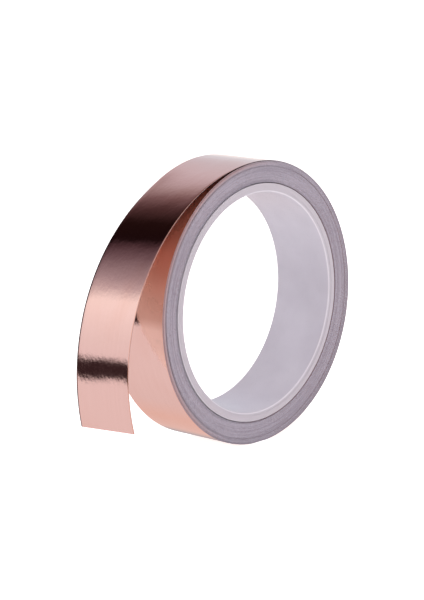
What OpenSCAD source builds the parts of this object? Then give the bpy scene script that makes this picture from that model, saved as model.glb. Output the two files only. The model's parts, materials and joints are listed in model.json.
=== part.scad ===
// Roll of copper foil tape on a plastic core, with its loose end hanging free.
// The roll's axis lies along Y, the near side faces -Y and up is +Z.
// The origin is the centre of the core's bore.

/* [Core] */

// Diameter of the bore that a spindle or a dispenser hub goes through
bore_d = 76.2; // [60:0.1:90]

// Thickness of the core's wall
core_wall = 3.1; // [2.2:0.1:6]

// How far the core stands out of the tape on each side
core_proud = 0.2; // [0:0.05:1]

// Radius of the rounded lip at each end of the bore
lip_r = 1.2; // [0.4:0.1:1.6]

// Small step between the rounded lip and the core's flat end face
lip_step = 0.15; // [0.05:0.05:0.4]

// Bevel on the core's outer edges, beside the tape
core_bevel = 0.3; // [0.1:0.05:0.6]

/* [Tape] */

// Width of the tape
tape_w = 24; // [5:0.5:30]

// Thickness of the copper foil
foil_t = 0.035; // [0.02:0.005:0.08]

// Thickness of the adhesive coat on the foil's inner face
adhesive_t = 0.025; // [0.02:0.005:0.06]

// Thickness of the release liner under the adhesive
liner_t = 0.05; // [0.04:0.005:0.1]

/* [Wound turns] */

// Turns in the main pack, next to the core
inner_count = 53; // [20:1:80]

// Turns in the outer pack, under the last turn
outer_count = 17; // [4:1:40]

// How far the outer pack is shifted sideways, towards -Y
outer_shift = 0.1; // [0:0.05:0.5]

/* [Start strip] */

// Length round the core of the strip that holds the first turn
start_len = 20; // [8:1:40]

// Thickness of the start strip
start_t = 0.1; // [0.06:0.01:0.2]

// How far the start strip stays in from each edge of the tape
start_inset = 2; // [0.5:0.5:2]

// Angle round the roll where the start strip lies
start_angle = 250; // [180:5:330]

/* [Loose end] */

// Angle round the roll, up from +X, where the loose end leaves the roll
leave_angle = 95.8; // [80:0.1:110]

// Radius that the loose end is bent to, on its copper face
tail_r = 66.5; // [60:0.5:90]

// Arc of the loose end that stays with the roll, before the first bend line
root_arc = 18; // [14:1:24]

// Arc of each of the three free lengths of the loose end
free_arc = 27; // [18:1:30]

// Slit at each bend line, so that the lengths can turn without touching
slit = 0.06; // [0.04:0.01:0.12]

// Length of foil and adhesive that can be lifted off the liner at the very end
tab_len = 15; // [8:1:22]

/* [Hidden] */

$fn = 180;

bore_r = bore_d / 2;
core_r = bore_r + core_wall;
core_len = tape_w + 2 * core_proud;
tape_t = foil_t + adhesive_t + liner_t;
inner_r = core_r + inner_count * tape_t;
pack_r = inner_r + outer_count * tape_t;
roll_r = pack_r + tape_t;
half_step = tape_t / 2;

// Small overlap that joins the loose end's bend to the last turn
lap = 0.5;

// Depth of each layer under the copper face
foil_d = 0;
adhesive_d = foil_t;
liner_d = foil_t + adhesive_t;

// Unit vector towards the place where the loose end leaves the roll
leave = [cos(leave_angle), sin(leave_angle)];

// Centre of the loose end's bend: its copper face is tangent to the roll
tail_c = -(tail_r - roll_r) * leave;

// Angle that half a slit, or the lifting end, takes on the bend
slit_a = slit / 2 / tail_r * 180 / PI;
tab_a = tab_len / tail_r * 180 / PI;

// Angles of the bend lines, counted from where the loose end leaves the roll
function bend_at(i) = root_arc + i * free_arc;

// Turns a drawing in the XZ plane upright, with its thickness along Y
module upright(shift = 0) {
  translate([0, -shift, 0])
    rotate([90, 0, 0])
      children();
}

// A curved band about a centre: radii r0 to r1, from angle a, round by sweep
module band(centre, r0, r1, a, sweep, w = tape_w) {
  translate([centre[0], centre[1], 0])
    rotate([0, 0, a])
      rotate_extrude(angle = sweep)
        translate([r0, -w / 2])
          square([r1 - r0, w]);
}

// One layer of the last turn: two half turns whose centres differ by half a
// tape thickness, so that the turn winds in by one thickness; then the start
// of the loose end, up to the first bend line
module last_turn_layer(depth, t) {
  upright(outer_shift) {
    band([0, 0], roll_r - depth - t, roll_r - depth, leave_angle - 180, 180);
    band(
      -half_step * leave,
      roll_r - half_step - depth - t,
      roll_r - half_step - depth,
      leave_angle,
      180
    );
    band(
      tail_c,
      tail_r - depth - t,
      tail_r - depth,
      leave_angle - lap,
      root_arc - slit_a + lap
    );
  }
}

// One layer of free length i of the loose end; cut leaves off its far part
module tail_layer(i, depth, t, cut = 0) {
  upright(outer_shift)
    band(
      tail_c,
      tail_r - depth - t,
      tail_r - depth,
      leave_angle + bend_at(i) + slit_a,
      free_arc - 2 * slit_a - cut
    );
}

// Cutter for one lip of the bore, drawn at the lower end of the profile
module lip_cut() {
  difference() {
    square([lip_r, lip_r + lip_step]);
    translate([lip_r, lip_r + lip_step])
      circle(r = lip_r);
  }
}

// Half section of the core: x is the wall's thickness, y its length
module core_section() {
  difference() {
    translate([0, -core_len / 2])
      square([core_wall, core_len]);
    for (side = [-1, 1])
      scale([1, side])
        translate([0, -core_len / 2]) {
          lip_cut();
          polygon([
            [core_wall - core_bevel, 0],
            [core_wall, 0],
            [core_wall, core_bevel]
          ]);
        }
  }
}

module core() {
  color("WhiteSmoke")
    upright()
      rotate_extrude()
        translate([bore_r, 0])
          core_section();
}

module start_strip() {
  color("Khaki")
    upright()
      band(
        [0, 0],
        core_r,
        core_r + start_t,
        start_angle,
        start_len / core_r * 180 / PI,
        tape_w - 2 * start_inset
      );
}

module inner_turns() {
  color("Thistle")
    difference() {
      upright()
        band([0, 0], core_r, inner_r, 0, 360);
      start_strip();
    }
}

// The pack's rim follows the inside of the last turn, with its one step
module outer_turns() {
  color("Plum")
    upright(outer_shift)
      difference() {
        union() {
          band([0, 0], inner_r - 1, pack_r, leave_angle - 180, 180);
          band(
            -half_step * leave,
            inner_r - 1,
            pack_r - half_step,
            leave_angle,
            180
          );
        }
        cylinder(r = inner_r, h = tape_w + 2, center = true);
      }
}

module last_turn_foil() {
  color("Peru")
    last_turn_layer(foil_d, foil_t);
}

module last_turn_adhesive() {
  color("LightYellow")
    last_turn_layer(adhesive_d, adhesive_t);
}

module last_turn_liner() {
  color("White")
    last_turn_layer(liner_d, liner_t);
}

module tail_foil_1() {
  color("Peru")
    tail_layer(0, foil_d, foil_t);
}

module tail_adhesive_1() {
  color("LightYellow")
    tail_layer(0, adhesive_d, adhesive_t);
}

module tail_liner_1() {
  color("White")
    tail_layer(0, liner_d, liner_t);
}

module tail_foil_2() {
  color("Peru")
    tail_layer(1, foil_d, foil_t);
}

module tail_adhesive_2() {
  color("LightYellow")
    tail_layer(1, adhesive_d, adhesive_t);
}

module tail_liner_2() {
  color("White")
    tail_layer(1, liner_d, liner_t);
}

// The foil and adhesive of the last length stop at the lifting end's bend line
module tail_foil_3() {
  color("Peru")
    tail_layer(2, foil_d, foil_t, tab_a);
}

module tail_adhesive_3() {
  color("LightYellow")
    tail_layer(2, adhesive_d, adhesive_t, tab_a);
}

module tail_liner_3() {
  color("White")
    tail_layer(2, liner_d, liner_t);
}

// One layer of the end that lifts off the liner
module end_layer(depth, t) {
  upright(outer_shift)
    band(
      tail_c,
      tail_r - depth - t,
      tail_r - depth,
      leave_angle + bend_at(3) - tab_a + slit_a,
      tab_a - 2 * slit_a
    );
}

module end_foil() {
  color("Peru")
    end_layer(foil_d, foil_t);
}

module end_adhesive() {
  color("LightYellow")
    end_layer(adhesive_d, adhesive_t);
}

core();
start_strip();
inner_turns();
outer_turns();
last_turn_foil();
last_turn_adhesive();
last_turn_liner();
tail_foil_1();
tail_adhesive_1();
tail_liner_1();
tail_foil_2();
tail_adhesive_2();
tail_liner_2();
tail_foil_3();
tail_adhesive_3();
tail_liner_3();
end_foil();
end_adhesive();
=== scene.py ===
"""The looks of a roll of copper foil tape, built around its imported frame."""

import json
import logging
import math
from collections.abc import Iterable
from dataclasses import dataclass
from enum import Enum

import bmesh
import bpy
import numpy as np
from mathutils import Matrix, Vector


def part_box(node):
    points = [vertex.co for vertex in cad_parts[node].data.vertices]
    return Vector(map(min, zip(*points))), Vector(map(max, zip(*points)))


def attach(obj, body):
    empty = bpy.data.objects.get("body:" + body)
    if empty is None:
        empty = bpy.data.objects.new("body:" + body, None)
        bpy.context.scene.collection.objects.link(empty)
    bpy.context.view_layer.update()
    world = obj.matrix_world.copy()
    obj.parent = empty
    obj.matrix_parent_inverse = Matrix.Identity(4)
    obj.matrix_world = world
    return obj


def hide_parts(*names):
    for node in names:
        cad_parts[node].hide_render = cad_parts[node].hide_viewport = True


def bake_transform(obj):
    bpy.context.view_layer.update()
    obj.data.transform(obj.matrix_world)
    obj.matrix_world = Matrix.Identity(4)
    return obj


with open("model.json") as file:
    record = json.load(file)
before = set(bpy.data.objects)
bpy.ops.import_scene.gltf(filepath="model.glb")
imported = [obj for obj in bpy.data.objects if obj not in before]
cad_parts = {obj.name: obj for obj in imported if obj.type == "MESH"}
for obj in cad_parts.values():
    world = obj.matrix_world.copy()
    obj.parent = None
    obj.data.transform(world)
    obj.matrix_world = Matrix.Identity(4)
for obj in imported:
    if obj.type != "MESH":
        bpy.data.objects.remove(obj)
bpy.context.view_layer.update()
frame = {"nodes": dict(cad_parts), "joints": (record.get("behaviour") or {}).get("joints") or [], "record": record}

MM = 0.001
LOG = logging.getLogger("foil_roll")
Colour = tuple[float, float, float]
Range = tuple[float, float]
Piece = bpy.types.Object
Material = bpy.types.Material
Socket = bpy.types.NodeSocket
Sockets = bpy.types.bpy_prop_collection


# ---- finishes


@dataclass(frozen=True)
class Grain:
    """A noise pattern: how often it repeats each way, and how many finer layers it has."""

    first: float
    second: float
    detail: float


class NodeBoard:
    """A material's or world's node tree, with short calls to add and join nodes."""

    def __init__(self, tree: bpy.types.NodeTree) -> None:
        """Empties the tree and keeps it."""
        self.tree = tree
        self.tree.nodes.clear()

    def add(self, kind: str, **settings: object) -> bpy.types.Node:
        """Adds one node.

        Args:
            kind: the node's type name.
            settings: attributes set on the node.

        Returns:
            The new node.
        """
        node = self.tree.nodes.new(kind)
        for name, value in settings.items():
            setattr(node, name, value)
        return node

    def join(self, given: object, target: Socket) -> None:
        """Links an output to an input, or sets the input to a number or a colour.

        Args:
            given: an output, a number or a colour.
            target: the input.
        """
        if isinstance(given, Socket):
            self.tree.links.new(given, target)
        elif isinstance(given, tuple):
            target.default_value = (*given, 1.0)
        else:
            target.default_value = given

    def value(self, operation: str, first: object, second: object = 0.0) -> Socket:
        """Adds a maths node.

        Args:
            operation: the operation's name.
            first: the first input's number or output.
            second: the second input's number or output.

        Returns:
            The node's output.
        """
        node = self.add("ShaderNodeMath", operation=operation)
        self.join(first, node.inputs[0])
        self.join(second, node.inputs[1])
        return node.outputs[0]

    def mapped(
        self, value: Socket, source: Range, target: Range = (0.0, 1.0), soft: bool = False
    ) -> Socket:
        """Maps one range of values to another, and stays level outside it.

        Args:
            value: the value to map.
            source: the range it is read over.
            target: the range it is mapped to.
            soft: whether both ends are eased.

        Returns:
            The mapped value.
        """
        node = self.add("ShaderNodeMapRange", interpolation_type="SMOOTHSTEP" if soft else "LINEAR")
        for slot, given in enumerate((value, *source, *target)):
            self.join(given, node.inputs[slot])
        return node.outputs[0]

    def from_to(self, share: Socket, low: float, high: float) -> Socket:
        """Maps the middle of a noise pattern to a range of values."""
        return self.mapped(share, (0.3, 0.7), (low, high))

    def mixed(self, share: object, first: object, second: object, blend: str = "MIX") -> Socket:
        """Mixes two colours.

        Args:
            share: how much of the second colour is used.
            first: the first colour.
            second: the second colour.
            blend: how they are mixed.

        Returns:
            The mixed colour.
        """
        node = self.add("ShaderNodeMix", data_type="RGBA", blend_type=blend)
        for name, given in (("Factor", share), ("A", first), ("B", second)):
            self.join(given, node.inputs[name])
        return node.outputs["Result"]

    def ramp(self, share: Socket, stops: Iterable[tuple[float, Colour]]) -> Socket:
        """Reads a colour from a row of stops.

        Args:
            share: where to read, from 0 to 1.
            stops: each stop's place and colour.

        Returns:
            The colour.
        """
        node = self.add("ShaderNodeValToRGB")
        row = node.color_ramp.elements
        for number, (place, colour) in enumerate(stops):
            stop = row[number] if number < 2 else row.new(place)
            stop.position = place
            stop.color = (*colour, 1.0)
        self.join(share, node.inputs[0])
        return node.outputs[0]

    def between(self, share: Socket, low: Colour, high: Colour) -> Socket:
        """Mixes two colours over the middle of a noise pattern."""
        return self.ramp(share, ((0.3, low), (0.7, high)))

    def parts(self, vector: Socket) -> Sockets:
        """Splits coordinates.

        Args:
            vector: the coordinates.

        Returns:
            The outputs X, Y and Z.
        """
        node = self.add("ShaderNodeSeparateXYZ")
        self.join(vector, node.inputs[0])
        return node.outputs

    def object_parts(self) -> Sockets:
        """The place on the object, as X, Y and Z."""
        return self.parts(self.add("ShaderNodeTexCoord").outputs["Object"])

    def tape_parts(self) -> Sockets:
        """The distances along the tape and from its middle, as X and Y."""
        return self.parts(self.add("ShaderNodeUVMap", uv_map="tape").outputs[0])

    def radius(self) -> Socket:
        """Gives the distance from the roll's axis, in metres.

        Returns:
            The distance.
        """
        place = self.object_parts()
        across = self.value("MULTIPLY", place["X"], place["X"])
        upward = self.value("MULTIPLY", place["Z"], place["Z"])
        return self.value("SQRT", self.value("ADD", across, upward))

    def noise(self, vector: Socket, scale: float, detail: float) -> Socket:
        """Adds a noise pattern.

        Args:
            vector: the coordinates to read.
            scale: the pattern's scale.
            detail: how many finer layers it has.

        Returns:
            The pattern's value.
        """
        node = self.add("ShaderNodeTexNoise")
        self.join(vector, node.inputs["Vector"])
        self.join(scale, node.inputs["Scale"])
        self.join(detail, node.inputs["Detail"])
        return node.outputs[0]

    def tape_noise(self, grain: Grain) -> Socket:
        """Adds a noise pattern that follows the tape.

        Args:
            grain: its repeats in a metre along the tape and across it.

        Returns:
            The pattern's value.
        """
        scale = self.add("ShaderNodeMapping")
        scale.inputs["Scale"].default_value = (grain.first, grain.second, 1.0)
        self.join(self.add("ShaderNodeUVMap", uv_map="tape").outputs[0], scale.inputs["Vector"])
        return self.noise(scale.outputs[0], 1.0, grain.detail)

    def roll_noise(self, grain: Grain) -> Socket:
        """Adds a noise pattern in rings round the roll's axis.

        Args:
            grain: its repeats in a metre outwards, and how fast it changes round the axis.

        Returns:
            The pattern's value.
        """
        place = self.object_parts()
        turn = self.value("ARCTAN2", place["Z"], place["X"])
        joined = self.add("ShaderNodeCombineXYZ")
        self.join(self.value("MULTIPLY", self.radius(), grain.first), joined.inputs[0])
        for slot, wave in ((1, "COSINE"), (2, "SINE")):
            self.join(self.value("MULTIPLY", self.value(wave, turn), grain.second), joined.inputs[slot])
        return self.noise(joined.outputs[0], 1.0, grain.detail)

    def bump(self, height: Socket, depth: float, under: Socket | None = None) -> Socket:
        """Turns a pattern into surface relief.

        Args:
            height: the pattern.
            depth: the relief's height in metres.
            under: the normal of a coarser relief below it.

        Returns:
            The bumped normal.
        """
        node = self.add("ShaderNodeBump")
        self.join(1.0, node.inputs["Strength"])
        self.join(depth, node.inputs["Distance"])
        self.join(height, node.inputs["Height"])
        if under is not None:
            self.join(under, node.inputs["Normal"])
        return node.outputs[0]


def new_material(name: str) -> tuple[Material, NodeBoard, Sockets]:
    """Starts a material with one principled shader.

    Args:
        name: the material's name.

    Returns:
        The material, its node board and its shader's inputs.
    """
    material = bpy.data.materials.new(name)
    material.use_nodes = True
    board = NodeBoard(material.node_tree)
    shader = board.add("ShaderNodeBsdfPrincipled")
    out = board.add("ShaderNodeOutputMaterial")
    board.join(shader.outputs[0], out.inputs["Surface"])
    return material, board, shader.inputs


@dataclass(frozen=True)
class CopperFinish:
    """Rolled copper foil: bright satin, with fine rolling lines along its length."""

    bright: Colour = (0.945, 0.635, 0.545)
    dull: Colour = (0.930, 0.617, 0.527)
    darker_copper: Colour = (0.86, 0.47, 0.36)
    edge_darkening: float = 0.45
    patch_tarnish: float = 0.30
    roughness: float = 0.07
    lines: Grain = Grain(16.0, 3600.0, 3.0)
    streaks: Grain = Grain(7.0, 900.0, 4.0)
    grain: Grain = Grain(700.0, 1000.0, 2.0)
    crinkle: Grain = Grain(110.0, 150.0, 3.0)
    patches: Grain = Grain(45.0, 70.0, 3.0)
    line_depth: float = 0.0000005
    grain_depth: float = 0.000018
    crinkle_depth: float = 0.000030
    half_width: float = 12.0 * MM
    clean_share: float = 0.955
    patch_reach: Range = (0.52, 0.80)

    def material(self) -> Material:
        """Builds the material.

        Returns:
            The copper face's material.
        """
        material, board, shader = new_material("copper_face")
        lines = board.tape_noise(self.lines)
        rolled = board.between(board.tape_noise(self.streaks), self.dull, self.bright)
        board.join(board.mixed(self.darker_share(board), rolled, self.darker_copper), shader["Base Color"])
        rough = board.from_to(lines, self.roughness - 0.02, self.roughness + 0.035)
        board.join(rough, shader["Roughness"])
        board.join(1.0, shader["Metallic"])
        coarse = board.bump(board.tape_noise(self.crinkle), self.crinkle_depth)
        fine = board.bump(board.tape_noise(self.grain), self.grain_depth, coarse)
        board.join(board.bump(lines, self.line_depth, fine), shader["Normal"])
        return material

    def darker_share(self, board: NodeBoard) -> Socket:
        """Where the copper is darker: a thin band along its slit edges, and faint random patches.

        Args:
            board: the material's node board.

        Returns:
            The share of the darker colour.
        """
        side = board.value("ABSOLUTE", board.tape_parts()["Y"])
        clean = self.half_width * self.clean_share
        # a thin darker band along each slit edge
        edge = board.mapped(side, (clean, self.half_width), (0.0, self.edge_darkening))
        worn = board.mapped(board.tape_noise(self.patches), self.patch_reach, (0.0, self.patch_tarnish))
        return board.value("ADD", edge, worn)


@dataclass(frozen=True)
class RingTone:
    """How much of the side of the roll's colour the painted shade keeps at one radius, in millimetres."""

    radius: float
    tone: float


@dataclass(frozen=True)
class EdgeFinish:
    """The slit edge of one layer, seen end on in the side of the roll."""

    name: str
    light: Colour
    dark: Colour
    # painted highlight: the paler, warmer colour of the outer turns' edges on the loose end's side
    outer_highlight: Colour
    metallic: float
    roughness: float
    fine: Grain = Grain(2300.0, 1.3, 1.0)
    broad: Grain = Grain(900.0, 1.0, 2.0)
    marks: Grain = Grain(2600.0, 110.0, 2.0)
    fine_share: float = 0.34
    broad_share: float = 0.12
    mark_share: float = 0.54
    contrast: Range = (-0.7, 1.7)
    mark_depth: float = 0.000010
    inner_mm: float = 41.0
    outer_mm: float = 49.2
    group_mm: float = 47.03
    loose_reach: float = -36.0 * MM
    loose_lean: float = -0.3
    # painted shade in the gaps between rings, all round
    all_round: tuple[RingTone, ...] = (
        RingTone(41.2, 0.86), RingTone(41.6, 0.90), RingTone(42.2, 1.0), RingTone(46.6, 1.0),
        RingTone(47.0, 0.96), RingTone(47.3, 0.96), RingTone(47.6, 1.0), RingTone(48.2, 1.0),
        RingTone(48.6, 0.84),
    )
    # deeper painted shade on the loose end's side, where the outer turns bulge
    loose_side: tuple[RingTone, ...] = (
        RingTone(41.2, 0.66), RingTone(41.65, 0.70), RingTone(42.0, 0.84), RingTone(42.6, 0.93),
        RingTone(43.3, 1.0), RingTone(46.2, 0.97), RingTone(46.6, 0.88), RingTone(46.85, 0.68),
        RingTone(47.1, 0.62), RingTone(47.35, 0.86), RingTone(47.7, 1.0), RingTone(48.1, 0.90),
        RingTone(48.5, 0.78),
    )

    def material(self) -> Material:
        """Builds the material: uneven rings of tone, slitting marks, a painted highlight on the outer turns and
        painted shade in the gaps.

        Returns:
            The edge's material.
        """
        material, board, shader = new_material(self.name)
        marks = board.roll_noise(self.marks)
        fine = board.value("MULTIPLY", board.roll_noise(self.fine), self.fine_share)
        broad = board.value("MULTIPLY", board.roll_noise(self.broad), self.broad_share)
        rings = board.value("ADD", fine, broad)
        tone = board.value("ADD", rings, board.value("MULTIPLY", marks, self.mark_share))
        clear = board.mixed(board.from_to(tone, *self.contrast), self.dark, self.light)
        # painted highlight mixed into the outer turns
        highlighted = board.mixed(self.highlight_share(board), clear, self.outer_highlight)
        # painted shade multiplied in
        shaded = board.mixed(1.0, highlighted, self.ring_shade(board), "MULTIPLY")
        board.join(shaded, shader["Base Color"])
        board.join(board.from_to(marks, self.roughness - 0.08, self.roughness + 0.08), shader["Roughness"])
        board.join(self.metallic, shader["Metallic"])
        board.join(board.bump(marks, self.mark_depth), shader["Normal"])
        return material

    def highlight_share(self, board: NodeBoard) -> Socket:
        """How much painted highlight the edge gets: the outer turns, on the loose end's side.

        Args:
            board: the material's node board.

        Returns:
            The share of the painted highlight colour.
        """
        radius = board.radius()
        outer = board.mapped(radius, ((self.group_mm + 0.1) * MM, (self.group_mm + 0.6) * MM))
        wound = board.mapped(radius, ((self.outer_mm + 0.3) * MM, (self.outer_mm + 0.1) * MM))
        return board.value("MULTIPLY", board.value("MULTIPLY", outer, wound), self.loose_share(board))

    def loose_share(self, board: NodeBoard) -> Socket:
        """How near a point is to the side of the roll where the loose end hangs.

        Args:
            board: the material's node board.

        Returns:
            The share, from 0 on the far side to 1 under the loose end.
        """
        place = board.object_parts()
        leaning = board.value("MULTIPLY", place["Z"], self.loose_lean)
        return board.mapped(board.value("ADD", place["X"], leaning), (0.0, self.loose_reach), soft=True)

    def ring_shade(self, board: NodeBoard) -> Socket:
        """Paints shade into the gaps: at the core, between the two groups of turns and at the rim, more on the
        loose end's side.

        Args:
            board: the material's node board.

        Returns:
            The share of colour each ring keeps under the painted shade.
        """
        share = board.mapped(board.radius(), (self.inner_mm * MM, self.outer_mm * MM))
        span = self.outer_mm - self.inner_mm
        shades = []
        for rings in (self.all_round, self.loose_side):
            stops = [((ring.radius - self.inner_mm) / span, (ring.tone,) * 3) for ring in rings]
            shades.append(board.ramp(share, stops))
        return board.mixed(self.loose_share(board), shades[0], shades[1])


@dataclass(frozen=True)
class FilmTone:
    """A film's colour at a distance along the loose end, in millimetres; on the liner it includes painted shade
    and painted copper reflection.
    """

    along: float
    colour: Colour


@dataclass(frozen=True)
class FilmFinish:
    """A thin film's wide face, less metallic near the cut end: copper shows through the adhesive, and the liner's
    colour is painted shade and painted copper reflection under the loose end.
    """

    name: str
    tones_and_shade: tuple[FilmTone, ...]
    roughness: float
    grain_depth: float
    metallic: float
    cloud: Grain = Grain(60.0, 90.0, 3.0)
    grain: Grain = Grain(2600.0, 2600.0, 2.0)
    cloudy: Colour = (0.93, 0.92, 0.91)
    reach: float = 120.0
    clear_until: float = 55 * MM
    white_from: float = 98 * MM

    def material(self) -> Material:
        """Builds the material: cloudy film with a fine grain, whitened towards the cut end.

        Returns:
            The film's material.
        """
        material, board, shader = new_material(self.name)
        cloud = board.tape_noise(self.cloud)
        along = board.tape_parts()["X"]
        # on the liner, the colour along the loose end is painted shade and painted copper reflection
        stops = [(tone.along / self.reach, tone.colour) for tone in self.tones_and_shade]
        tinted = board.ramp(board.value("DIVIDE", along, self.reach * MM), stops)
        clouded = board.mixed(1.0, tinted, board.between(cloud, self.cloudy, (1.0, 1.0, 1.0)), "MULTIPLY")
        board.join(clouded, shader["Base Color"])
        white = board.mapped(along, (self.clear_until, self.white_from), soft=True)
        clear = board.value("SUBTRACT", 1.0, white)
        board.join(board.value("MULTIPLY", clear, self.metallic), shader["Metallic"])
        board.join(board.from_to(cloud, self.roughness - 0.05, self.roughness + 0.06), shader["Roughness"])
        board.join(board.bump(board.tape_noise(self.grain), self.grain_depth), shader["Normal"])
        return material


@dataclass(frozen=True)
class CorePlasticFinish:
    """Milky moulded plastic, slightly clouded, with painted shade on its end faces and a painted highlight on its
    rounded edges.
    """

    light: Colour = (0.612, 0.598, 0.662)
    dark: Colour = (0.570, 0.555, 0.620)
    # painted highlight colour for the rounded edges
    lip_highlight: Colour = (0.80, 0.77, 0.83)
    # painted shade colour for the flat end faces
    end_shade: Colour = (0.560, 0.520, 0.569)
    roughness: float = 0.32
    cloud_scale: float = 110.0
    grain_scale: float = 2400.0
    highlight_slope: float = 0.70
    highlight_reach: Range = (0.24, 0.06)
    end_reach: Range = (0.90, 0.98)
    cloud_depth: float = 0.00004
    grain_depth: float = 0.000004

    def material(self) -> Material:
        """Builds the material.

        Returns:
            The core's material.
        """
        material, board, shader = new_material("core_plastic")
        place = board.add("ShaderNodeTexCoord")
        cloud = board.noise(place.outputs["Object"], self.cloud_scale, 3.0)
        grain = board.noise(place.outputs["Object"], self.grain_scale, 2.0)
        facing = board.value("ABSOLUTE", board.parts(place.outputs["Normal"])["Y"])
        # painted highlight: pale where the surface leans halfway between end face and bore, on the rounded lip and
        # the outer bevel
        lean = board.value("ABSOLUTE", board.value("SUBTRACT", facing, self.highlight_slope))
        edge = board.mapped(lean, self.highlight_reach, soft=True)
        # painted shade: the flat end faces are darker than the bore
        end = board.mapped(facing, self.end_reach, soft=True)
        ends_shaded = board.mixed(end, board.between(cloud, self.dark, self.light), self.end_shade)
        board.join(board.mixed(edge, ends_shaded, self.lip_highlight), shader["Base Color"])
        board.join(board.from_to(grain, self.roughness - 0.05, self.roughness + 0.06), shader["Roughness"])
        shader["Subsurface Weight"].default_value = 0.12
        shader["Subsurface Radius"].default_value = (0.0012, 0.0011, 0.0012)
        shader["IOR"].default_value = 1.49
        coarse = board.bump(cloud, self.cloud_depth)
        board.join(board.bump(grain, self.grain_depth, coarse), shader["Normal"])
        return material


# ---- measures


class Layer(Enum):
    """The three layers of the tape, from its copper face inwards."""

    FOIL = "foil"
    ADHESIVE = "adhesive"
    LINER = "liner"


@dataclass(frozen=True)
class TapeMeasures:
    """Sizes of the tape and its winding, in metres and radians, read from the frame."""

    width: float
    middle: float
    core_radius: float
    group_radius: float
    roll_radius: float
    leave: float
    bend_centre: tuple[float, float]
    bend_radius: float
    bend_lines: tuple[float, float, float]
    end: float
    peel_line: float
    laps: int = 70
    start_gap: float = 0.1 * MM
    foil: float = 0.035 * MM
    adhesive: float = 0.025 * MM
    liner: float = 0.05 * MM

    @property
    def thickness(self) -> float:
        """The whole tape's thickness."""
        return self.foil + self.adhesive + self.liner

    @property
    def pitch(self) -> float:
        """How much radius one turn takes."""
        return (self.roll_radius - self.core_radius - self.start_gap) / (self.laps + 1)

    def depth(self, layer: Layer) -> tuple[float, float]:
        """Where a layer lies under the copper face.

        Args:
            layer: the layer.

        Returns:
            The depth of the layer's middle and its thickness.
        """
        if layer is Layer.FOIL:
            return self.foil / 2, self.foil
        if layer is Layer.ADHESIVE:
            return self.foil + self.adhesive / 2, self.adhesive
        return self.foil + self.adhesive + self.liner / 2, self.liner


def circle_through(points: list[tuple[float, float]]) -> tuple[tuple[float, float], float]:
    """Finds the circle through three points.

    Args:
        points: the three points.

    Returns:
        The circle's centre and radius.
    """
    first, *others = (np.array(point) for point in points)
    sides = np.array([2 * (other - first) for other in others])
    centre = np.linalg.solve(sides, np.array([other @ other - first @ first for other in others]))
    return (float(centre[0]), float(centre[1])), float(np.linalg.norm(first - centre))


def joint_place(name: str) -> tuple[float, float]:
    """Where a bend line lies, seen along the roll's axis.

    Args:
        name: the joint's name.

    Returns:
        Its x and z.
    """
    joint = next(j for j in frame["joints"] if j["name"] == name)
    return joint["pos_m"][0], joint["pos_m"][2]


def read_measures() -> TapeMeasures:
    """Reads the tape's sizes from the frame.

    Returns:
        The measures.
    """
    strip_low, strip_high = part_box("tail_foil_1")
    lines = [joint_place(n) for n in ("tail_lift", "tail_bend_mid", "tail_bend_far")]
    centre, radius = circle_through(lines)
    leave = math.atan2(-centre[1], -centre[0])
    angles = [(math.atan2(z - centre[1], x - centre[0]) - leave) % math.tau for x, z in lines]
    peel = joint_place("foil_peel")
    peel_line = (math.atan2(peel[1] - centre[1], peel[0] - centre[0]) - leave) % math.tau
    half_tape = 0.055 * MM
    return TapeMeasures(
        width=strip_high.y - strip_low.y,
        middle=(strip_high.y + strip_low.y) / 2,
        core_radius=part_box("core")[1].x,
        group_radius=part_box("inner_turns")[1].x,
        roll_radius=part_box("last_turn_foil")[1].x,
        leave=leave,
        bend_centre=centre,
        bend_radius=radius + half_tape,
        bend_lines=(angles[0], angles[1], angles[2]),
        end=angles[2] + (angles[2] - angles[1]),
        peel_line=peel_line,
    )


# ---- helpers


def select_nothing() -> None:
    """Leaves edit mode and deselects every object."""
    if bpy.context.object and bpy.context.object.mode != "OBJECT":
        bpy.ops.object.mode_set(mode="OBJECT")
    bpy.ops.object.select_all(action="DESELECT")


def smooth_step(value: np.ndarray, low: float, high: float) -> np.ndarray:
    """Rises softly from 0 to 1.

    Args:
        value: where to read.
        low: where the rise starts.
        high: where it ends.

    Returns:
        The share at each value.
    """
    share = np.clip((value - low) / (high - low), 0.0, 1.0)
    return share * share * (3 - 2 * share)


def flat_strip(name: str, along: int, across: int) -> tuple[Piece, np.ndarray, np.ndarray]:
    """Cuts a flat strip, one unit long and wide, ready to be wound.

    Args:
        name: the piece's name.
        along: how many faces it has along its length.
        across: how many faces it has across its width.

    Returns:
        The strip, and each point's share of the length and of the width.
    """
    select_nothing()
    bpy.ops.mesh.primitive_grid_add(x_subdivisions=along, y_subdivisions=across, size=1.0)
    strip = bpy.context.object
    strip.name = name
    strip.data.name = name
    place = np.zeros(len(strip.data.vertices) * 3, np.float32)
    strip.data.vertices.foreach_get("co", place)
    place = place.reshape(-1, 3).astype(float)
    length = np.round((place[:, 0] + 0.5) * along) / along
    width = np.round((place[:, 1] + 0.5) * across) / across
    return strip, length, width


def lay_strip(strip: Piece, place: np.ndarray, along: np.ndarray, across: np.ndarray) -> None:
    """Moves a strip's points to their places and gives it its lengthwise coordinates.

    Args:
        strip: the strip.
        place: each point's place.
        along: each point's distance along the tape, in metres.
        across: each point's distance across it, in metres.
    """
    mesh = strip.data
    mesh.vertices.foreach_set("co", place.astype(np.float32).ravel())
    corners = np.zeros(len(mesh.loops), np.int32)
    mesh.loops.foreach_get("vertex_index", corners)
    layer = mesh.uv_layers[0] if mesh.uv_layers else mesh.uv_layers.new()
    layer.name = "tape"
    layer.data.foreach_set("uv", np.stack([along[corners], across[corners]], 1).astype(np.float32).ravel())
    mesh.update()


def take(piece: Piece) -> None:
    """Selects one piece alone and makes it the active one."""
    select_nothing()
    piece.select_set(True)
    bpy.context.view_layer.objects.active = piece


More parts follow.
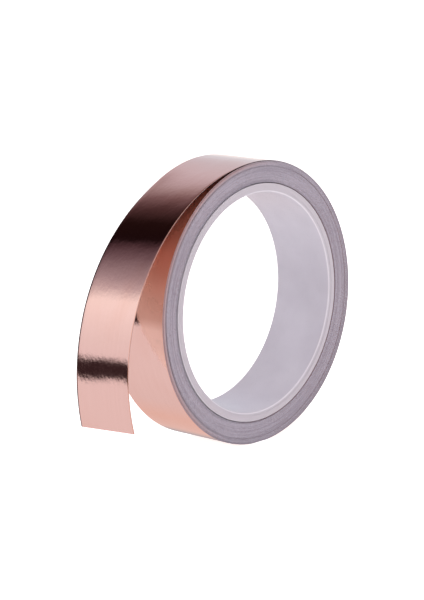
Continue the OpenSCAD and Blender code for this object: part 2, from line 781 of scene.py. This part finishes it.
def face_outwards(piece: Piece) -> None:
    """Recalculates a closed piece's normals so that they point outwards."""
    take(piece)
    bpy.ops.object.mode_set(mode="EDIT")
    bpy.ops.mesh.select_all(action="SELECT")
    bpy.ops.mesh.normals_make_consistent(inside=False)
    bpy.ops.object.mode_set(mode="OBJECT")


def thicken(strip: Piece, thickness: float) -> None:
    """Gives a strip its thickness, half to each side, and a second finish slot for its cut edges.

    Args:
        strip: the strip.
        thickness: the thickness in metres.
    """
    take(strip)
    strip.data.materials.append(None)
    strip.data.materials.append(None)
    wall = strip.modifiers.new("wall", "SOLIDIFY")
    wall.thickness = thickness
    wall.offset = 0.0
    wall.material_offset_rim = 1
    bpy.ops.object.modifier_apply(modifier=wall.name)
    face_outwards(strip)
    bpy.ops.object.shade_smooth_by_angle(angle=math.radians(40))


def dress_strip(strip: Piece, face: Material, edge: Material) -> None:
    """Gives a strip the finish of its wide faces and the finish of its cut edges."""
    strip.data.materials[0] = face
    strip.data.materials[1] = edge


# ---- pieces


@dataclass
class Core:
    """The plastic core: a tube with a stepped, rounded lip at each end of its bore."""

    outer_radius: float
    bore_radius: float
    length: float
    flat_width: float = 1.9 * MM
    lip_step: float = 0.15 * MM
    lip_radius: float = 0.95 * MM
    outer_bevel: float = 0.28 * MM
    sides: int = 240

    def build(self) -> Piece:
        """Models the tube.

        Returns:
            The core's piece.
        """
        select_nothing()
        bpy.ops.mesh.primitive_cylinder_add(
            vertices=self.sides, radius=self.outer_radius, depth=self.length, rotation=(math.pi / 2, 0, 0)
        )
        core = bpy.context.object
        core.name = "core_tube"
        bpy.ops.object.transform_apply(location=True, rotation=True, scale=True)
        bpy.ops.object.mode_set(mode="EDIT")
        bpy.ops.mesh.select_mode(type="FACE")
        self.pick_ends(core)
        bpy.ops.mesh.inset(thickness=self.flat_width, depth=0.0)
        bpy.ops.mesh.inset(thickness=0.04 * MM, depth=-self.lip_step)
        lip_width = self.outer_radius - self.bore_radius - self.flat_width - 0.04 * MM
        bpy.ops.mesh.inset(thickness=lip_width, depth=0.0)
        bpy.ops.mesh.bridge_edge_loops()
        self.pick_rings(core, self.bore_radius, self.length / 2 - self.lip_step)
        bpy.ops.mesh.bevel(offset=self.lip_radius, segments=9, profile=0.5)
        self.pick_rings(core, self.outer_radius, self.length / 2)
        bpy.ops.mesh.bevel(offset=self.outer_bevel, segments=3, profile=0.5)
        bpy.ops.object.mode_set(mode="OBJECT")
        face_outwards(core)
        bpy.ops.object.shade_smooth_by_angle(angle=math.radians(35))
        return core

    def pick_ends(self, core: Piece) -> None:
        """Selects the two end faces by their normals."""
        mesh = bmesh.from_edit_mesh(core.data)
        for face in mesh.faces:
            face.select_set(abs(face.normal.y) > 0.9)
        bmesh.update_edit_mesh(core.data)

    def pick_rings(self, core: Piece, radius: float, height: float) -> None:
        """Selects the two edge rings at a radius and a distance from the middle.

        Args:
            core: the core's piece, in edit mode.
            radius: the rings' radius.
            height: how far each ring is from the middle.
        """
        bpy.ops.mesh.select_mode(type="EDGE")
        bpy.ops.mesh.select_all(action="DESELECT")
        mesh = bmesh.from_edit_mesh(core.data)
        close = 0.02 * MM
        for edge in mesh.edges:
            ends = [v.co for v in edge.verts]
            near = all(abs(math.hypot(p.x, p.z) - radius) < close for p in ends)
            level = all(abs(abs(p.y) - height) < close for p in ends)
            flat = abs(ends[0].y - ends[1].y) < close / 2
            edge.select_set(near and level and flat)
        bmesh.update_edit_mesh(core.data)

    def dress(self, core: Piece) -> None:
        """Gives the core its plastic and its place in the frame."""
        core.data.materials.clear()
        core.data.materials.append(CorePlasticFinish().material())
        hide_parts("core")
        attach(core, "roll")


@dataclass
class LayerLook:
    """One layer's finishes and a slot name."""

    face: Material
    edge: Material
    slot: str


@dataclass
class WoundTape:
    """The wound turns: one long strip for each layer, wound from the core outwards."""

    measures: TapeMeasures
    faces_a_turn: int = 144
    wander: float = 0.03 * MM
    sunk: float = 0.42 * MM
    loose_side: float = math.radians(150)
    slack_side: float = math.radians(-38)
    shifted: float = 0.28 * MM
    slack: float = 0.34 * MM
    slack_reach: float = math.radians(36)
    core_gap_laps: float = 2.3
    group_gap_laps: float = 1.1
    last_gap_laps: float = 0.9
    last_gap_below: float = 4.2
    seed: int = 7

    def sideways(self, lap: np.ndarray, angle: np.ndarray) -> np.ndarray:
        """How far the tape lies from the middle of the roll at each lap.

        Args:
            lap: the number of laps from the core.
            angle: the angle round the axis.

        Returns:
            The sideways place of the tape's middle, in metres.
        """
        laps = self.measures.laps
        draw = np.random.RandomState(self.seed)
        single = draw.uniform(-1, 1, laps + 2)
        grouped = np.repeat(draw.uniform(-1, 1, laps // 3 + 2), 3)[: laps + 2]
        marks = 0.6 * single + 0.6 * grouped
        marks[-2:] = 0.0
        wander = np.interp(lap, np.arange(laps + 2), marks) * self.wander
        sizes = self.measures
        group = (sizes.group_radius - sizes.core_radius) / sizes.pitch - 1
        moved = smooth_step(lap, group, group + 0.6) * sizes.middle
        upper_left = (0.5 + 0.5 * np.cos(angle - self.loose_side)) ** 2
        between_groups = self.sunk * upper_left * np.exp(-(((lap - group) / self.group_gap_laps) ** 2))
        below_last = (lap - laps + self.last_gap_below) / self.last_gap_laps
        under_last = 0.6 * self.sunk * upper_left * np.exp(-(below_last**2))
        at_core = 1.1 * self.sunk * np.exp(-((lap / self.core_gap_laps) ** 2))
        return wander + moved + between_groups + under_last + at_core

    def out_of_round(self, lap: np.ndarray, angle: np.ndarray) -> np.ndarray:
        """How far the outer laps lie outside a true circle: slack at the lower right, tight opposite.

        Args:
            lap: the number of laps from the core.
            angle: the angle round the axis.

        Returns:
            The distance outwards, in metres.
        """
        laps = self.measures.laps
        away = np.arctan2(np.sin(angle - self.slack_side), np.cos(angle - self.slack_side))
        shape = self.shifted * np.cos(away) + self.slack * np.exp(-((away / self.slack_reach) ** 2))
        return shape * (lap / laps) ** 2 * (1 - smooth_step(lap, laps - 0.3, float(laps)))

    def build(self, layer: Layer) -> Piece:
        """Winds one layer.

        Args:
            layer: the layer.

        Returns:
            The wound strip.
        """
        sizes = self.measures
        depth, thickness = sizes.depth(layer)
        squeeze = sizes.pitch / sizes.thickness
        strip, length, width = flat_strip(f"wound_{layer.value}", sizes.laps * self.faces_a_turn, 1)
        lap = length * sizes.laps
        angle = sizes.leave + (lap - sizes.laps) * math.tau
        radius = sizes.roll_radius - (sizes.laps - lap) * sizes.pitch - depth * squeeze
        radius += self.out_of_round(lap, angle)
        across = (width - 0.5) * sizes.width
        aside = self.sideways(lap, angle) + across
        place = np.stack([radius * np.cos(angle), aside, radius * np.sin(angle)], 1)
        mean = (sizes.core_radius + sizes.roll_radius) / 2
        lay_strip(strip, place, (lap - sizes.laps) * math.tau * mean, across)
        thicken(strip, thickness * squeeze * 0.92)
        return strip

    def dress(self, strip: Piece, layer: Layer, look: LayerLook) -> None:
        """Gives a wound strip its finishes and its place in the frame."""
        dress_strip(strip, look.face, look.edge)
        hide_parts(f"last_turn_{layer.value}")
        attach(strip, "roll")


@dataclass
class Length:
    """One length of the loose end, between two angles of its bend."""

    name: str
    start: float
    end: float
    bodies: tuple[str, str]
    bend_from: float
    bend_to: float
    stands_for: str


@dataclass
class LooseEnd:
    """The loose end of the tape, which bends away from the roll in one sweep."""

    measures: TapeMeasures
    twist: float = 0.45 * MM
    twist_span: float = 1.15
    tip_twist: float = 0.58 * MM
    ripple: float = 0.011 * MM
    long_waves: float = 19.0
    short_waves: float = 43.0
    near_roll: float = 0.10 * MM
    far_roll: float = 0.24 * MM
    near_from: float = 0.955
    far_from: float = 0.932
    cut_skew: float = math.radians(0.58)
    overhang: float = math.radians(0.35)
    settle: float = 0.70 * MM
    settle_until: float = 0.67
    peel_fold: float = math.radians(6)
    tip_from: float = 0.6
    faces_a_radian: float = 240.0
    edge_faces: int = 4
    middle_faces: int = 12

    @property
    def tip(self) -> float:
        """The bend's angle at the cut end."""
        return self.measures.end + self.overhang

    def lengths(self, layer: Layer) -> list[Length]:
        """Divides a layer of the loose end into lengths, each naming two bodies.

        Args:
            layer: the layer.

        Returns:
            The layer's lengths, from the roll to the tip.
        """
        name = layer.value
        first, second, third = self.measures.bend_lines
        near = (first + second) / 2
        far = (second + third) / 2
        settled = third + (third - far) * 0.55
        bend = first - (second - first) / 6
        stop = self.tip if layer is Layer.LINER else settled
        made = [
            Length(f"tail_root_{name}", 0.0, near, ("roll", "tail_near"), bend, near, f"tail_{name}_1"),
            Length(f"tail_mid_{name}", near, far, ("tail_near", "tail_mid"), near, far, f"tail_{name}_2"),
            Length(f"tail_far_{name}", far, stop, ("tail_mid", "tail_far"), far, settled, f"tail_{name}_3"),
        ]
        if layer is not Layer.LINER:
            peel, bodies = self.measures.peel_line, ("tail_far", "foil_end")
            fold = peel + self.peel_fold
            made.append(Length(f"tail_end_{name}", settled, self.tip, bodies, peel, fold, f"end_{name}"))
        return made

    def point(self, angle: float) -> tuple[float, float, float]:
        """A point on the bend's copper face, at an angle from where it leaves the roll."""
        (x, z), turn = self.measures.bend_centre, self.measures.leave + angle
        radius = self.measures.bend_radius
        return x + radius * math.cos(turn), self.measures.middle, z + radius * math.sin(turn)

    def relief(self, angle: np.ndarray, share: np.ndarray) -> np.ndarray:
        """How far the strip lies outside its plain bend: a slight twist and soft ripples.

        Args:
            angle: the angle from where the strip leaves the roll.
            share: the place across the strip, from -1 to 1.

        Returns:
            The distance outwards, in metres.
        """
        end = self.measures.end
        twist = -self.twist * share * np.sin(math.pi * angle / (self.twist_span * end))
        curl = np.clip(angle / end - self.tip_from, 0.0, 1.0) / (1 - self.tip_from)
        twist += self.tip_twist * share * curl**2
        near = np.clip((-share - self.near_from) / (1 - self.near_from), 0.0, 1.0) ** 2
        far = np.clip((share - self.far_from) / (1 - self.far_from), 0.0, 1.0) ** 2
        rolled = self.near_roll * near + self.far_roll * far
        twist -= rolled * smooth_step(angle, 0.0, 0.15 * end)
        rising = smooth_step(angle, 0.18 * end, self.settle_until * end)
        lying = smooth_step(angle, 0.0, 0.20 * end) * (1 - rising)
        twist -= self.settle * ((1 + share) / 2) ** 1.5 * lying
        twist = np.where(twist < 0, -self.held_off(-twist, angle), twist)
        calm = smooth_step(angle, 0.1 * end, 0.35 * end)
        long_wave = np.sin(self.long_waves * angle + 0.9 * share + 0.4) * np.cos(2.1 * share + 0.7)
        short_wave = 0.5 * np.sin(self.short_waves * angle - 2.3 * share) * np.cos(3.7 * share - 9.0 * angle)
        return twist + self.ripple * calm * (long_wave + short_wave)

    def held_off(self, inward: np.ndarray, angle: np.ndarray) -> np.ndarray:
        """Softly keeps the strip from sinking into the roll below it.

        Args:
            inward: how far the strip would lie inside its plain bend, in metres.
            angle: the angle from where the strip leaves the roll.

        Returns:
            How far it does lie inside it.
        """
        spread = self.measures.bend_radius - self.measures.roll_radius
        room = 0.97 * spread * (1 - np.cos(angle)) + 1e-7
        inward = np.clip(inward, 0.0, None)
        return inward * room / (inward**4 + room**4) ** 0.25

    def build(self, layer: Layer, part: Length) -> Piece:
        """Makes one length of one layer.

        Args:
            layer: the layer.
            part: the length to make.

        Returns:
            The piece.
        """
        sizes = self.measures
        depth, thickness = sizes.depth(layer)
        along = max(8, round((part.end - part.start) * self.faces_a_radian))
        near = np.linspace(-1.0, -self.near_from, self.edge_faces + 1)
        middle = np.linspace(-self.near_from, self.far_from, self.middle_faces + 1)
        far = np.linspace(self.far_from, 1.0, self.edge_faces + 1)
        stations = np.concatenate([near[:-1], middle, far[1:]])
        strip, length, width = flat_strip(part.name, along, len(stations) - 1)
        share = np.interp(width, np.linspace(0, 1, len(stations)), stations)
        skew = self.cut_skew if part.end == self.tip else 0.0
        angle = part.start + length * (part.end + skew * share - part.start)
        radius = sizes.bend_radius - depth + self.relief(angle, share)
        turn = sizes.leave + angle
        across = share * sizes.width / 2
        x, z = sizes.bend_centre
        place = np.stack([x + radius * np.cos(turn), sizes.middle + across, z + radius * np.sin(turn)], 1)
        lay_strip(strip, place, angle * sizes.bend_radius, across)
        thicken(strip, thickness * 0.96)
        return strip

    def dress(self, strip: Piece, part: Length, look: LayerLook) -> None:
        """Gives a length its finishes, hides the frame's part it stands for and fixes its placement."""
        dress_strip(strip, look.face, look.edge)
        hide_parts(part.stands_for)
        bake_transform(strip)


# ---- studio


@dataclass(frozen=True)
class TentStop:
    """The light tent's colour at one angle round the roll's axis, in degrees up from +X."""

    angle: float
    colour: Colour


@dataclass
class Studio:
    """A white light tent with a dark gap overhead, a pale floor and the camera."""

    floor_height: float
    camera_distance: float = 707.58 * MM
    camera_azimuth: float = -48.318
    camera_elevation: float = 11.229
    camera_aside: float = -7.2415 * MM
    camera_up: float = -0.5354 * MM
    lens: float = 122.71
    band_colour: Colour = (0.74, 0.57, 0.52)
    end_colour: Colour = (0.10, 0.09, 0.10)
    band_reach: Range = (0.20, 0.48)
    end_reach: Range = (0.78, 0.87)
    floor_glow: Range = (0.52, 0.80)
    tent: tuple[TentStop, ...] = (
        TentStop(0, (1.0, 1.0, 1.0)), TentStop(14, (0.72, 0.79, 0.88)), TentStop(30, (0.63, 0.66, 0.76)),
        TentStop(46, (0.62, 0.62, 0.72)), TentStop(54.5, (0.54, 0.51, 0.59)),
        TentStop(62.5, (0.38, 0.33, 0.37)), TentStop(70.5, (0.20, 0.14, 0.16)),
        TentStop(80, (0.075, 0.042, 0.048)), TentStop(92, (0.014, 0.006, 0.006)),
        TentStop(106.5, (0.010, 0.004, 0.005)), TentStop(111.5, (0.07, 0.042, 0.055)),
        TentStop(119.5, (0.155, 0.115, 0.145)), TentStop(134, (0.38, 0.34, 0.40)),
        TentStop(141, (0.56, 0.52, 0.58)), TentStop(149, (1.0, 1.0, 1.05)),
        TentStop(156, (0.98, 0.97, 1.03)), TentStop(175, (0.85, 0.82, 0.88)),
        TentStop(184.5, (0.83, 0.79, 0.86)), TentStop(188, (0.036, 0.021, 0.025)),
        TentStop(196.9, (0.036, 0.021, 0.025)), TentStop(200.2, (0.83, 0.78, 0.84)),
        TentStop(240, (0.81, 0.75, 0.80)), TentStop(270, (0.78, 0.70, 0.73)),
        TentStop(292, (0.80, 0.62, 0.58)), TentStop(316, (0.80, 0.61, 0.57)),
        TentStop(330, (0.46, 0.43, 0.45)), TentStop(346, (0.45, 0.43, 0.45)),
        TentStop(354, (0.97, 0.97, 0.97)),
    )

    def world(self) -> None:
        """Lights the scene with the tent; the camera itself sees plain white."""
        world = bpy.data.worlds.new("light_tent")
        bpy.context.scene.world = world
        world.use_nodes = True
        board = NodeBoard(world.node_tree)
        way = board.parts(board.add("ShaderNodeTexCoord").outputs["Generated"])
        turn = board.value("ARCTAN2", way["Z"], way["X"])
        stops = [(stop.angle / 360, stop.colour) for stop in self.tent]
        stops.append((1.0, self.tent[0].colour))
        walls = board.ramp(board.value("FRACT", board.value("DIVIDE", turn, math.tau)), stops)
        aside = board.value("ABSOLUTE", way["Y"])
        ends = board.ramp(aside, zip(self.end_reach, ((1.0, 1.0, 1.0), self.end_colour)))
        closed = board.mixed(1.0, walls, ends, "MULTIPLY")
        band = board.mapped(aside, self.band_reach, (1.0, 0.0), soft=True)
        tent = board.add("ShaderNodeBackground")
        board.join(board.mixed(band, closed, self.band_colour), tent.inputs["Color"])
        plain = board.add("ShaderNodeBackground")
        board.join((1.0, 1.0, 1.0), plain.inputs["Color"])
        mix = board.add("ShaderNodeMixShader")
        board.join(board.add("ShaderNodeLightPath").outputs["Is Camera Ray"], mix.inputs[0])
        board.join(tent.outputs[0], mix.inputs[1])
        board.join(plain.outputs[0], mix.inputs[2])
        out = board.add("ShaderNodeOutputWorld")
        board.join(mix.outputs[0], out.inputs["Surface"])

    def floor(self) -> None:
        """Lays a pale floor that glows a little, so that it stays nearly white."""
        select_nothing()
        bpy.ops.mesh.primitive_circle_add(
            vertices=96, radius=6.0, fill_type="NGON", location=(0, 0, self.floor_height)
        )
        floor = bpy.context.object
        floor.name = "floor"
        material, board, shader = new_material("floor_paper")
        board.join((0.80, 0.80, 0.80), shader["Base Color"])
        board.join(0.9, shader["Roughness"])
        board.join(0.1, shader["Specular IOR Level"])
        seen = board.add("ShaderNodeLightPath").outputs["Is Camera Ray"]
        board.join((1.0, 1.0, 1.0), shader["Emission Color"])
        board.join(board.mapped(seen, (0.0, 1.0), self.floor_glow), shader["Emission Strength"])
        floor.data.materials.append(material)
        floor.visible_glossy = False

    def lamp(
        self, name: str, place: tuple[float, float, float], size: float, power: float, mirrored: bool
    ) -> None:
        """Hangs one round softbox aimed at the roll.

        Args:
            name: the lamp's name.
            place: where it hangs.
            size: its diameter.
            power: its power in watts.
            mirrored: whether shiny surfaces mirror it.
        """
        select_nothing()
        bpy.ops.object.light_add(type="AREA", location=place)
        lamp = bpy.context.object
        lamp.name = name
        lamp.data.shape = "DISK"
        lamp.data.size = size
        lamp.data.energy = power
        lamp.rotation_mode = "QUATERNION"
        lamp.rotation_quaternion = Vector(place).to_track_quat("Z", "Y")
        lamp.visible_glossy = mirrored

    def lamps(self) -> None:
        """Hangs the softboxes."""
        self.lamp("front_softbox", (0.10, -1.05, 0.70), 0.7, 1.2, False)
        self.lamp("side_softbox", (0.45, -0.85, 0.15), 0.5, 1.6, False)
        self.lamp("top_softbox", (0.0, -0.40, 0.95), 0.4, 1.2, False)
        self.lamp("back_softbox", (-0.10, 0.50, 0.80), 0.5, 3.4, False)
        self.lamp("lip_light", (-0.62, -0.55, 0.20), 0.30, 0.3, True)

    def camera(self) -> None:
        """Sets up the camera in front of the near side, to its left and a little above."""
        turn, lift = math.radians(self.camera_azimuth), math.radians(self.camera_elevation)
        back = Vector((math.sin(turn) * math.cos(lift), -math.cos(turn) * math.cos(lift), math.sin(lift)))
        right = Vector((math.cos(turn), math.sin(turn), 0.0))
        up = back.cross(right)
        data = bpy.data.cameras.new("camera")
        data.lens = self.lens
        data.sensor_width = 36.0
        camera = bpy.data.objects.new("camera", data)
        bpy.context.scene.collection.objects.link(camera)
        camera.location = back * self.camera_distance + right * self.camera_aside + up * self.camera_up
        camera.rotation_mode = "QUATERNION"
        camera.rotation_quaternion = (-back).to_track_quat("-Z", "Y")
        data.clip_start = 0.01
        data.clip_end = 50.0
        bpy.context.scene.camera = camera


# ---- the whole


def layer_looks() -> dict[Layer, LayerLook]:
    """Makes every layer's finishes.

    Returns:
        Each layer's look.
    """
    # each edge finish: light and dark colours, the outer turns' painted highlight colour, metallic, roughness
    copper_edge = EdgeFinish(
        "copper_edge", (0.522, 0.430, 0.461), (0.302, 0.238, 0.264), (0.549, 0.374, 0.374), 0.3, 0.5
    )
    adhesive_edge = EdgeFinish(
        "adhesive_edge", (0.407, 0.383, 0.451), (0.265, 0.248, 0.307), (0.458, 0.327, 0.346), 0.0, 0.5
    )
    liner_edge = EdgeFinish(
        "liner_edge", (0.535, 0.510, 0.619), (0.371, 0.346, 0.432), (0.531, 0.393, 0.432), 0.0, 0.6
    )
    adhesive_tones = (FilmTone(0, (0.85, 0.65, 0.53)), FilmTone(115, (0.85, 0.68, 0.58)))
    adhesive = FilmFinish("adhesive_face", adhesive_tones, 0.22, 0.000006, 0.5)
    # the liner's underside: painted shade and painted copper reflection near the roll, its own white near the cut
    # end
    liner_shade_and_reflection = (
        FilmTone(4, (0.30, 0.13, 0.11)), FilmTone(28, (0.56, 0.31, 0.25)),
        FilmTone(46, (0.78, 0.47, 0.39)), FilmTone(58, (0.80, 0.53, 0.455)),
        FilmTone(70, (0.75, 0.60, 0.55)), FilmTone(82, (0.77, 0.65, 0.61)),
        FilmTone(89, (1.0, 0.99, 1.0)),
    )
    liner = FilmFinish("liner_face", liner_shade_and_reflection, 0.28, 0.000003, 0.35)
    return {
        Layer.FOIL: LayerLook(CopperFinish().material(), copper_edge.material(), "copper"),
        Layer.ADHESIVE: LayerLook(adhesive.material(), adhesive_edge.material(), "adhesive"),
        Layer.LINER: LayerLook(liner.material(), liner_edge.material(), "liner"),
    }


def dress_start_strip() -> None:
    """Gives the hidden strip that holds the first turn its paper finish."""
    material, board, shader = new_material("start_tape")
    fibre = board.noise(board.add("ShaderNodeTexCoord").outputs["Object"], 1500.0, 3.0)
    board.join(board.between(fibre, (0.70, 0.60, 0.38), (0.80, 0.70, 0.48)), shader["Base Color"])
    board.join(board.from_to(fibre, 0.65, 0.85), shader["Roughness"])
    board.join(board.bump(fibre, 0.00001), shader["Normal"])
    node = frame["nodes"]["start_strip"]
    node.data.materials.clear()
    node.data.materials.append(material)


def main() -> None:
    """Builds the studio and every piece, in order."""
    logging.basicConfig(level=logging.INFO, format="%(name)s: %(message)s")
    bpy.context.scene.view_settings.view_transform = "Standard"
    measures = read_measures()
    studio = Studio(floor_height=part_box("last_turn_foil")[0].z)
    studio.world()
    studio.floor()
    studio.lamps()
    studio.camera()
    core_low, core_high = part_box("core")
    bore = next(m for m in frame["record"]["mounts"] if m["name"] == "core_bore")
    core_maker = Core(core_high.x, bore["dims"]["r_mm"] * MM, core_high.y - core_low.y)
    core = core_maker.build()
    core_maker.dress(core)
    LOG.info("%s: %d faces", core.name, len(core.data.polygons))
    dress_start_strip()
    looks = layer_looks()
    wound = WoundTape(measures)
    loose = LooseEnd(measures)
    for layer in Layer:
        strip = wound.build(layer)
        wound.dress(strip, layer, looks[layer])
        LOG.info("%s: %d faces", strip.name, len(strip.data.polygons))
        if layer is Layer.FOIL:
            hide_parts("inner_turns", "outer_turns")
        for part in loose.lengths(layer):
            piece = loose.build(layer, part)
            loose.dress(piece, part, looks[layer])
            LOG.info("%s: %d faces", piece.name, len(piece.data.polygons))


if __name__ == "__main__":
    main()
